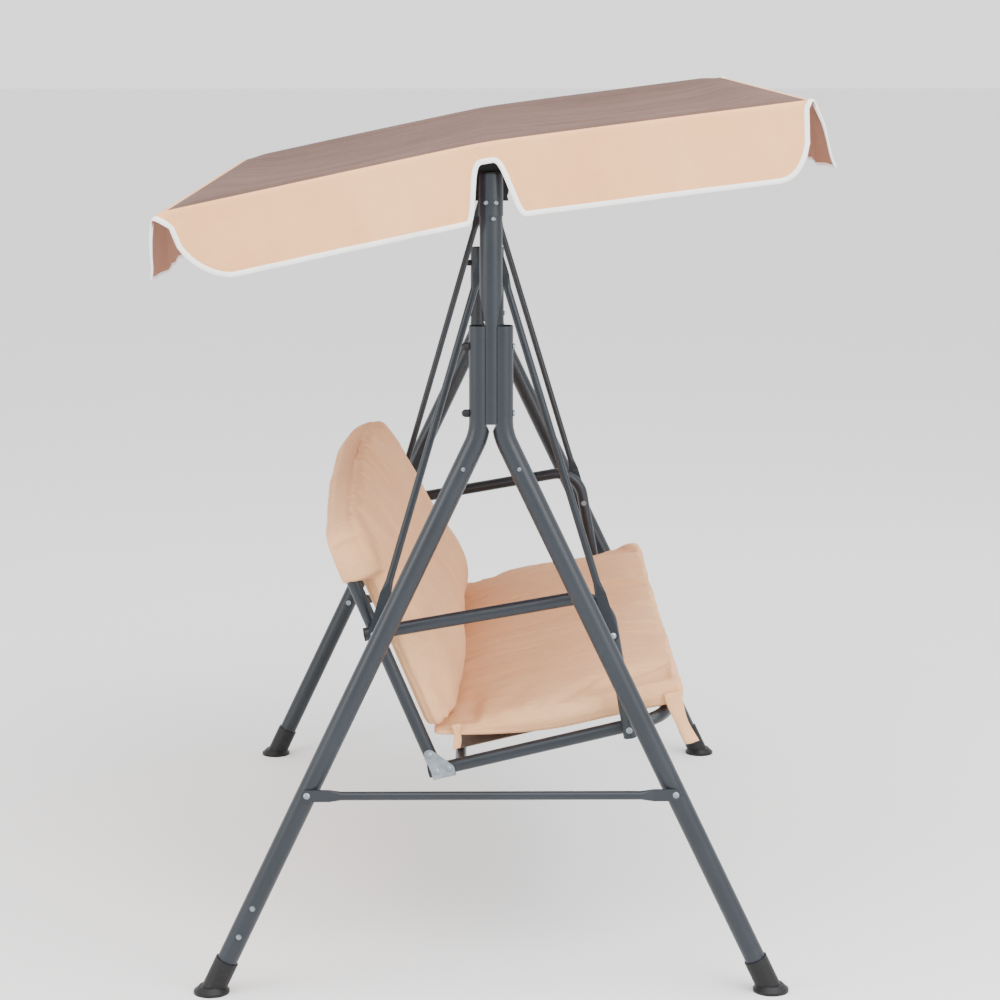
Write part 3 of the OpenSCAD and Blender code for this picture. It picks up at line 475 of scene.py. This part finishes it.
def makeBackPad(p):
    # a tall pad with a crowned top: it swells low down, thins to its edges, and its upper
    # quarter is a sleeve that widens round the top rail
    halfTall = (p["top"] - p["bottom"]) / 2
    points, unit, quads = softBox((p["halfWidth"], p["thick"] / 2, halfTall), p["roll"],
                                  (p["counts"][0], p["counts"][2], p["counts"][1]))
    a, c, b = unit.T  # c runs from the rear face to the front face
    height = points[:, 2] + p["bottom"] + halfTall
    inSleeve = step(height, p["sleeveFrom"], p["sleeveFrom"] + 0.003)
    half = p["halfWidth"] + (p["sleeveHalf"] - p["halfWidth"]) * inSleeve
    x = points[:, 0] / p["halfWidth"] * half
    # the top corners: a square of the corner's size is pressed into a quarter disc
    dx = np.maximum(np.abs(x) - (half - p["corner"]), 0)
    dz = np.maximum(height - (p["top"] - p["corner"]), 0)
    reach = np.maximum(dx, dz)
    length = np.maximum(np.hypot(dx, dz), 1e-9)
    x = x + np.sign(x) * (dx * reach / length - dx)
    height = height + dz * reach / length - dz
    spread = 1 - np.clip(np.abs(x) / p["halfWidth"], 0, 1) ** 2
    height = height + p["crown"] * spread * step(height, p["bottom"], p["top"])
    dome = (1 - a ** 6) * (1 - b ** 6)
    puff = 0.034 * np.exp(-((height - 0.165) / 0.095) ** 2) * (1 - a ** 8) + 0.012 * dome
    rear = p["rear"] + (p["sleeveRear"] - p["rear"]) * inSleeve
    front = p["rear"] + p["thick"] + puff - 0.010 * step(height, 0.36, 0.50)
    t = (c + 1) / 2
    ahead = rear + (front - rear) * t
    shape = np.stack([x, ahead, height], 1)
    flat = np.stack([x, c * 0.02, height], 1)
    normal = outward(shape, quads)
    edgeX = (1 - np.abs(a)) * p["halfWidth"]
    edgeZ = (1 - np.abs(b)) * halfTall
    edge = np.minimum(edgeX, edgeZ)
    along = np.where(edgeX < edgeZ, height, x)
    puckers = 0.35 + 0.65 * ripple(flat, 24, 5.0)
    gathers = np.sin(along * 130 + 7.0 * ripple(flat, 23, 9.0)) * np.exp(-edge / 0.032) * 0.0018 * puckers
    lumps = ripple(flat, 25, 8.0, 9) * 0.0040 + ripple(flat, 26, 22.0, 11, (1, 1, 0.5)) * 0.0014
    fading = 0.5 + 0.5 * ripple(flat, 34, 6.0, 7)
    creases = (pinches(flat, 28, 24.0, 0.16, (1.0, 0.1, 0.18)) * 0.0034 * fading
               + pinches(flat, 29, 60.0, 0.20, (1.0, 0.1, 0.14)) * 0.0013)
    rim = step(np.abs(normal[:, 1]), 0.8, 0.3)
    seams = -0.0032 * (np.exp(-((ahead - front + 0.013) / 0.0045) ** 2)
                       + np.exp(-((ahead - rear - 0.012) / 0.0045) ** 2)) * rim
    frontSide = step(c, -0.2, 0.6)
    ruche = np.sin(along * 240 + 7 * ripple(flat, 31, 10.0)) * 0.0010 * puckers * rim * step(height, 0.36, 0.42)
    shift = gathers + seams + ruche + (lumps + creases) * frontSide + ripple(flat, 33, 36.0, 9) * 0.0012
    rearSide = step(-normal[:, 1], 0.5, 0.9) * (1 - inSleeve)
    shape = shape + normal * (shift * (1 - 0.8 * rearSide))[:, None]
    shape = swell(shape, quads, c < p["heldBelow"])
    shape[:, 1] = np.where(inSleeve < 0.01, np.maximum(shape[:, 1], p["rear"]), shape[:, 1])
    piece = meshPiece("backPad", onBack(shape), quads[:, ::-1].tolist(), [cushionCloth], "seat")
    subdivide(piece)
    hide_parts("back_cushion")


makeSeatPad(seatPad)
makeBackPad(backPad)
print("cushions made")


# ---- ties and sling

tie = {"thick": 0.0028, "x": 0.6500, "rows": 34, "columns": 12}


def makeTie(name, side, start, length, width, curl, seed):
    # a folded tab: it hangs down from its top edge, narrows, and its free end curls outwards
    rows, columns = tie["rows"], tie["columns"]
    s, t = np.meshgrid(np.linspace(0, 1, rows), np.linspace(-1, 1, columns), indexing="ij")
    drop = length * s
    half = width / 2 * (1 - 0.22 * s + 0.10 * np.sin(s * 7 + seed))
    ahead = start[0] + t * half + curl * s ** 2
    out = tie["x"] + 0.004 * np.sin(s * 5.5 + seed) * s + 0.003 * np.cos(t * 2.4 + seed) * s
    up = start[1] - drop
    front = np.stack([side * out, ahead, up], -1).reshape(-1, 3)
    piece = meshPiece(name, onSeat(front), gridQuads(rows, columns).tolist(), [cushionCloth], "seat")
    thicken(piece, tie["thick"], 0)
    return piece


for side, word in ((-1, "Right"), (1, "Left")):
    frontTie = makeTie("frontTie" + word, side, (0.462, 0.042), 0.104, 0.030, 0.016, 0.7)
    makeTie("rearTie" + word, side, (0.055, 0.076), 0.046, 0.016, -0.010, 2.1)
    if side < 0:
        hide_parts("corner_ties")

sling = {"half": 0.594, "rear": 0.036, "front": 0.443, "up": 0.0140, "sag": 0.0010,
         "thick": 0.0016, "rows": 90, "columns": 40}


def makeSling(p):
    # a stretched mesh that dips a little towards its middle
    rows, columns = p["rows"], p["columns"]
    a, b = np.meshgrid(np.linspace(-1, 1, rows), np.linspace(-1, 1, columns), indexing="ij")
    points = np.stack([a * p["half"], (p["rear"] + p["front"]) / 2 + b * (p["front"] - p["rear"]) / 2,
                       p["up"] - p["sag"] * (1 - a ** 2) * (1 - b ** 2)], -1).reshape(-1, 3)
    faces = gridQuads(rows, columns)[:, ::-1].tolist()
    piece = meshPiece("seatSling", onSeat(points), faces, [slingCloth], "seat")
    thicken(piece, p["thick"], 0)
    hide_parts("seat_sling")


makeSling(sling)
print("ties and sling made")


# ---- canopy

canopy = {"half": 0.8395, "reach": 0.562, "ridge": 0.0765, "eave": 0.0525, "drop": 0.134, "cloth": 0.0016,
          "notchTop": 0.034, "rollRear": (0.034, 0.022), "rollFront": (0.020, 0.016),
          "flareRear": 0.058, "flareFront": 0.036, "sag": 0.016,
          "cornerRear": 0.030, "cornerFront": 0.014, "widest": 0.8482, "bends": 7}


def canopyGrid():
    # even steps, with more of them round the notch and towards the corners
    p = canopy
    x = np.sin(np.linspace(-1, 1, 181) * math.pi / 2 * 0.86)
    x = x / x.max() * p["half"]
    edge = np.linspace(0.075, p["reach"], 64)
    middle = np.linspace(0, 0.075, 40)[:-1]
    y = np.concatenate([middle, edge])
    y = np.concatenate([-y[:0:-1], y])
    return x, y, np.linspace(0, 1, 26)[1:]


def roofUp(x, y):
    # two planes joined by a rounded ridge, resting on the arms and rails and sagging between
    p = canopy
    far = np.sqrt(y ** 2 + 0.03 ** 2) - 0.03 + 0.0015
    up = p["ridge"] - (p["ridge"] - p["eave"]) * far / p["reach"]
    between = step(np.abs(x), 0.745, 0.60)
    panel = np.sin(math.pi * np.clip(np.abs(y) / p["reach"], 0, 1)) ** 0.8
    dip = p["sag"] * (0.55 + 0.45 * np.cos(x * 2.0)) * between * (0.35 + 0.65 * panel)
    dip = dip * step(np.abs(y), p["reach"] - 0.02, p["reach"] - 0.12)
    flat = np.stack([x, y, 0 * x], -1).reshape(-1, 3)
    ridges = (1 + pinches(flat, 41, 34.0, 0.17, (1, 0.035, 0))).reshape(x.shape) * 0.0034
    fine = (1 + pinches(flat, 42, 85.0, 0.22, (1, 0.03, 0))).reshape(x.shape) * 0.0012
    fromEdge = step(p["half"] - np.abs(x), 0.0, 0.02) * step(p["reach"] - np.abs(y), 0.0, 0.05)
    return up - dip + (ridges + fine) * fromEdge


def hemEnd(y):
    # depth of an end valance: an arched notch at the beam and rounded corners
    p = canopy
    notch = p["notchTop"] + (p["drop"] - p["notchTop"]) * step(step(np.abs(y), 0.006, 0.056), 0, 1)
    left = p["reach"] - np.abs(y)
    start = np.where(y > 0, p["cornerRear"], p["cornerFront"])
    corner = np.clip(left / np.where(y > 0, 0.095, 0.070), 0, 1)
    power = np.where(y > 0, 1.5, 2.3)
    return np.minimum(notch, start + (p["drop"] - start) * np.sqrt(1 - (1 - corner) ** power))


def hemEave(x, front):
    # depth of an eave valance, with rounded corners
    p = canopy
    left = p["half"] - np.abs(x)
    corner = np.clip(left / 0.075, 0, 1)
    start = p["cornerFront"] if front else p["cornerRear"]
    return start + (p["drop"] - start) * np.sqrt(1 - (1 - corner) ** 2.2)


def endFlap(y, r, side):
    # hangs from the roof's end: it falls straight, stands out a little at the hem, and waves
    p = canopy
    depth = hemEnd(y) * r
    waves = 0.0035 * np.sin(y * 21 + side) + 0.0022 * np.sin(y * 47 + 2 * side) + 0.0014 * np.sin(y * 90)
    dart = -0.004 * (np.exp(-((y + 0.345) / 0.012) ** 2) + np.exp(-((y - 0.145) / 0.010) ** 2))
    awayFromNotch = 1 - np.exp(-(y / 0.06) ** 2)
    out = p["half"] + 0.0022 + (0.004 + (waves + dart) * awayFromNotch) * step(depth, 0.0, 0.12)
    out = np.minimum(out, p["widest"]) - 0.0022 * (1 - step(depth, 0.0, 0.006))
    out = np.maximum(out, p["half"])
    up = roofUp(np.full_like(y, p["half"]), y) - 0.0008 - depth
    return np.stack([side * out, y, up], -1)


def eaveFlap(x, r, front):
    # rolls over the rail, then flares to its hem and waves along it
    p = canopy
    roll, fall = p["rollFront"] if front else p["rollRear"]
    flare = p["flareFront"] if front else p["flareRear"]
    depth = hemEave(x, front) * r
    turned = np.clip(depth / (roll + 0.010), 0, 1)
    below = np.maximum(depth - roll, 0)
    out = p["reach"] + roll * np.sin(turned * math.pi / 2) ** 1.15 + (flare - roll) * below / p["drop"]
    waves = 0.0050 * np.sin(x * 15.5 + 1.3) + 0.0032 * np.sin(x * 33 + 0.4) + 0.0018 * np.sin(x * 71)
    out = out + waves * step(depth, 0.02, 0.13)
    eave = roofUp(x, np.full_like(x, p["reach"]))
    up = eave - fall * (1 - np.cos(turned * math.pi / 2)) - below * 0.985
    return np.stack([x, (-1 if front else 1) * out, up], -1)


def makeCanopy():
    # one cloth: the roof's grid, with a flap's grid carried on from each of its four edges
    p = canopy
    x, y, r = canopyGrid()
    roofX, roofY = np.meshgrid(x, y, indexing="ij")
    roof = np.stack([roofX, roofY, roofUp(roofX, roofY)], -1)
    points, quads, uv, slots = [roof.reshape(-1, 3)], [], [], []
    index = np.arange(roofX.size).reshape(roofX.shape)
    uv.append(np.stack([roofX, roofY], -1).reshape(-1, 2))
    q = gridQuads(*roofX.shape)
    quads.append(q)
    slots.append(np.zeros(len(q)))
    base = roofX.size
    hems = []
    for kind, side in (("end", -1), ("end", 1), ("eave", True), ("eave", False)):
        line = y if kind == "end" else x
        s, t = np.meshgrid(line, r, indexing="ij")
        flap = endFlap(s, t, side) if kind == "end" else eaveFlap(s, t, side)
        if kind == "end":
            seam = index[0 if side < 0 else -1, :]
            place = np.stack([side * (p["half"] + hemEnd(s) * t), s], -1)
        else:
            seam = index[:, 0 if side else -1]
            place = np.stack([s, (-1 if side else 1) * (p["reach"] + hemEave(s, side) * t)], -1)
        own = np.arange(s.size).reshape(s.shape) + base
        base += s.size
        full = np.concatenate([seam[:, None], own], 1)
        q = cellQuads(full)
        if (kind == "end" and side > 0) or (kind == "eave" and side):
            q = q[:, ::-1]
        quads.append(q)
        slots.append(np.ones(len(q)))
        points.append(flap.reshape(-1, 3))
        uv.append(place.reshape(-1, 2))
        hems.append((kind, side, full))
    # a gore closes the top of each corner, from one flap's side edge to the next
    joined = {kind + str(int(side > 0)): full for kind, side, full in hems}
    stacked = np.concatenate(points)
    gores, tips = {}, []
    for eave, yEnd in (("eave1", 0), ("eave0", -1)):
        for end, xEnd in (("end0", 0), ("end1", -1)):
            first, last = joined[end][yEnd], joined[eave][xEnd]
            t = np.linspace(0, 1, p["bends"] + 2)[1:-1][:, None, None]
            a, b = stacked[first[1:]], stacked[last[1:]]
            middle = a + (b - a) * t
            out = unitRows(middle.mean(0) * np.array([1, 1, 0]))
            width = np.linalg.norm(b - a, axis=1)
            bulge = np.sin(math.pi * t) * width[None, :, None] * 0.22
            rise = np.sin(math.pi * t[:, :, 0]) * np.linspace(0, 1, len(a))[None, :] ** 2 * 0.007
            middle = middle + out[None] * bulge
            middle[..., 2] += rise
            own = np.arange(middle.shape[0] * middle.shape[1]).reshape(middle.shape[:2]) + base
            base += own.size
            lines = np.concatenate([first[1:][None], own, last[1:][None]], 0)
            corner = np.full((len(lines), 1), first[0])
            fan = np.concatenate([corner, lines], 1)
            q = cellQuads(fan[:, 1:])
            tip = np.stack([fan[:-1, 0], fan[1:, 1], fan[:-1, 1]], -1)
            test = q[len(q) // 2]
            middle = middle.reshape(-1, 3)
            points.append(middle)
            uv.append(uv[0][first[0]] + (middle[:, :2] - stacked[first[0]][:2]))
            stacked = np.concatenate([stacked, middle])
            n = np.cross(stacked[test[2]] - stacked[test[0]], stacked[test[3]] - stacked[test[1]])
            flip = n @ (stacked[test].mean(0) * np.array([1, 1, 0])) < 0
            if flip:
                q, tip = q[:, ::-1], tip[:, ::-1]
            gores[end + eave] = fan[1:-1, -1]
            tips.append(tip)
            quads.append(q)
            slots.append(np.ones(len(q)))
    points, uv = np.concatenate(points), np.concatenate(uv)
    quads, slots = np.concatenate(quads), np.concatenate(slots)
    tips = np.concatenate(tips)
    faces = quads.tolist() + tips.tolist()
    slots = np.concatenate([slots, np.ones(len(tips))])
    cloths = [shadedRoofCloth, valanceCloth, innerShadeCloth, innerShadeCloth]
    piece = meshPiece("canopyCloth", onCanopy(points), faces, cloths, "canopy", uv, slots)
    thick = thicken(piece, p["cloth"], -1)
    thick.material_offset = 2  # the inner side takes a darker copy of the valance cloth: painted shade inside the flaps
    thick.material_offset_rim = 0
    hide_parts("canopy_roof", "valance_front", "valance_rear", "valance_right", "valance_left")
    # the hem runs round the whole canopy: end, gore, eave, gore and so on
    run = [joined["end0"][::-1, -1], gores["end0eave1"], joined["eave1"][:, -1], gores["end1eave1"][::-1],
           joined["end1"][:, -1], gores["end1eave0"], joined["eave0"][::-1, -1], gores["end0eave0"][::-1]]
    return piece, points, quads, np.concatenate(run)


binding = {"tall": 0.0095, "thick": 0.0042, "sides": 12, "overhang": 0.002}


def makeBinding(points, quads, hem):
    # an oval ring carried round the hem, its long way lying in the cloth
    p = binding
    path, normal = points[hem], outward(points, quads)[hem]
    keep = np.linalg.norm(path - np.roll(path, 1, 0), axis=1) > 0.0005
    path, normal = path[keep], normal[keep]
    along = unitRows(np.roll(path, -1, 0) - np.roll(path, 1, 0))
    inward = unitRows(np.cross(normal, along))
    if inward[:, 2].mean() < 0:
        inward = -inward
    ease = sum(np.roll(inward, k, 0) for k in range(-2, 3))
    inward = unitRows(ease - along * (ease * along).sum(1, keepdims=True))
    across = np.cross(along, inward)
    ring = np.linspace(0, 2 * math.pi, p["sides"], endpoint=False)
    centre = path + inward * (p["tall"] / 2 - p["overhang"])
    ringPoints = (centre[:, None, :] + np.cos(ring)[None, :, None] * inward[:, None, :] * p["tall"] / 2
                  - np.sin(ring)[None, :, None] * across[:, None, :] * p["thick"] / 2)
    rows, sides = len(path), p["sides"]
    i = np.arange(rows * sides).reshape(rows, sides)
    j, up = np.roll(i, -1, 1), np.roll(i, -1, 0)
    bands = np.stack([i, up, np.roll(up, -1, 1), j], -1).reshape(-1, 4)
    run = np.cumsum(np.linalg.norm(path - np.roll(path, 1, 0), axis=1))
    uv = np.stack([np.repeat(run, sides), np.tile(np.arange(sides) / sides * 0.03, rows)], 1)
    piece = meshPiece("hemTape", onCanopy(ringPoints.reshape(-1, 3)), bands.tolist(), [tape], "canopy", uv)
    return piece


clothPiece, clothPoints, clothQuads, hemRun = makeCanopy()
hemTape = makeBinding(clothPoints, clothQuads, hemRun)
print("canopy made")


# ---- floor, light and camera

def makeFloor(size):
    mesh = bpy.data.meshes.new("floor")
    corners = [(-size, -size, 0), (size, -size, 0), (size, size, 0), (-size, size, 0)]
    mesh.from_pydata(corners, [], [(0, 1, 2, 3)])
    floor = bpy.data.objects.new("floor", mesh)
    bpy.context.scene.collection.objects.link(floor)
    f = Finish("paleFloor", Roughness=0.85)
    cloud = f.noise(f.place(), 0.8, 3.0)
    f.feed(Base_Color=f.mix(cloud * 0.3, (0.86, 0.86, 0.86, 1), (0.80, 0.80, 0.80, 1)))
    mesh.materials.append(f.material)


def areaLight(name, place, target, size, power):
    data = bpy.data.lights.new(name, "AREA")
    data.shape = "RECTANGLE"
    data.size, data.size_y = size
    data.energy = power
    light = bpy.data.objects.new(name, data)
    light.location = place
    light.rotation_euler = (Vector(target) - Vector(place)).to_track_quat("-Z", "Y").to_euler()
    bpy.context.scene.collection.objects.link(light)


makeFloor(60)
middle = (0.0, 0.0, 0.8)
areaLight("topLight", (-1.5, -0.8, 4.2), middle, (5.0, 4.0), 260)
areaLight("frontLight", (-4.4, -3.6, 2.6), middle, (3.0, 2.6), 190)
areaLight("rearLight", (-3.2, 4.6, 2.4), middle, (3.0, 2.6), 150)
world = bpy.data.worlds.new("studio")
world.use_nodes = True
background = world.node_tree.nodes["Background"]
background.inputs["Color"].default_value = (1.0, 1.0, 1.0, 1)
background.inputs["Strength"].default_value = 1.7
bpy.context.scene.world = world

view = {"place": (-5.519, 0.026, 1.772), "down": 10.258, "turn": -0.508, "lens": 96.70}
down, turn = math.radians(view["down"]), math.radians(view["turn"])
way = Vector((math.cos(down) * math.cos(turn), math.cos(down) * math.sin(turn), -math.sin(down)))
data = bpy.data.cameras.new("camera")
data.lens = view["lens"]
data.sensor_width = 36.0
data.clip_end = 200
camera = bpy.data.objects.new("camera", data)
camera.location = view["place"]
camera.rotation_euler = way.to_track_quat("-Z", "Y").to_euler()
bpy.context.scene.collection.objects.link(camera)
bpy.context.scene.camera = camera
print("light and camera set")
